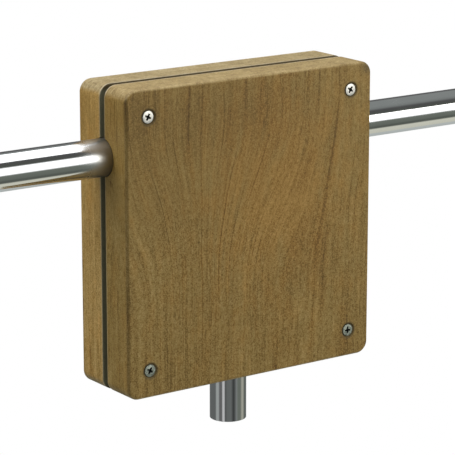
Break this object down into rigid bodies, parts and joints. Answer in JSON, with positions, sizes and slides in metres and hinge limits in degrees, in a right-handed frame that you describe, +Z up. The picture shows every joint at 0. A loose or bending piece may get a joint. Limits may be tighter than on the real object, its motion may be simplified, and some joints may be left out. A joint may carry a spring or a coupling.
{
  "type": "clamp-on mounting pad for boat rail",
  "caption": "Square teak pad in two grooved boards, screwed together round the joint of a tubular boat rail and its stanchion.",
  "frame": {"origin": "centre of the stanchion's lower end, under the middle of the pad", "axes": "+X along the rail, to the right seen from the front; -Y out of the pad's front face; +Z up along the stanchion"},
  "size_m": [0.42, 0.056, 0.241],
  "materials": {
    "teak": "oiled, fine vertical grain",
    "tube_steel": "mirror polished stainless steel",
    "weld": "as welded, brushed clean",
    "fastener_steel": "bright stainless steel",
    "rubber": "matt black"
  },
  "bodies": {
    "rail": {"rail_tube": "tube_steel", "stanchion_tube": "tube_steel", "weld_bead": "weld"},
    "front_half": {"front_board": "teak", "front_liner_left": "rubber", "front_liner_right": "rubber", "front_liner_lower": "rubber"},
    "rear_half": {"rear_board": "teak", "rear_liner_left": "rubber", "rear_liner_right": "rubber", "rear_liner_lower": "rubber", "washer_upper_left": "fastener_steel", "washer_upper_right": "fastener_steel", "washer_lower_left": "fastener_steel", "washer_lower_right": "fastener_steel"},
    "screw_upper_left": {"screw_upper_left": "fastener_steel"},
    "screw_upper_right": {"screw_upper_right": "fastener_steel"},
    "screw_lower_left": {"screw_lower_left": "fastener_steel"},
    "screw_lower_right": {"screw_lower_right": "fastener_steel"},
    "nut_upper_left": {"nut_upper_left": "fastener_steel"},
    "nut_upper_right": {"nut_upper_right": "fastener_steel"},
    "nut_lower_left": {"nut_lower_left": "fastener_steel"},
    "nut_lower_right": {"nut_lower_right": "fastener_steel"}
  },
  "joints": [
    {"name": "front_half_draws_off", "type": "slide", "parent": "rail", "child": "front_half", "axis": [0, -1, 0], "range_m": [0, 0.06]},
    {"name": "rear_half_draws_off", "type": "slide", "parent": "rail", "child": "rear_half", "axis": [0, 1, 0], "range_m": [0, 0.04]},
    {"name": "screw_upper_left_turns", "type": "hinge", "parent": "front_half", "child": "screw_upper_left", "pos_m": [-0.0817, -0.028, 0.2227], "axis": [0, 1, 0], "continuous": true},
    {"name": "screw_upper_right_turns", "type": "hinge", "parent": "front_half", "child": "screw_upper_right", "pos_m": [0.0817, -0.028, 0.2227], "axis": [0, 1, 0], "continuous": true},
    {"name": "screw_lower_left_turns", "type": "hinge", "parent": "front_half", "child": "screw_lower_left", "pos_m": [-0.0817, -0.028, 0.0543], "axis": [0, 1, 0], "continuous": true},
    {"name": "screw_lower_right_turns", "type": "hinge", "parent": "front_half", "child": "screw_lower_right", "pos_m": [0.0817, -0.028, 0.0543], "axis": [0, 1, 0], "continuous": true},
    {"name": "nut_upper_left_turns", "type": "hinge", "parent": "rear_half", "child": "nut_upper_left", "pos_m": [-0.0817, 0.0199, 0.2227], "axis": [0, 1, 0], "continuous": true},
    {"name": "nut_upper_right_turns", "type": "hinge", "parent": "rear_half", "child": "nut_upper_right", "pos_m": [0.0817, 0.0199, 0.2227], "axis": [0, 1, 0], "continuous": true},
    {"name": "nut_lower_left_turns", "type": "hinge", "parent": "rear_half", "child": "nut_lower_left", "pos_m": [-0.0817, 0.0199, 0.0543], "axis": [0, 1, 0], "continuous": true},
    {"name": "nut_lower_right_turns", "type": "hinge", "parent": "rear_half", "child": "nut_lower_right", "pos_m": [0.0817, 0.0199, 0.0543], "axis": [0, 1, 0], "continuous": true}
  ]
}
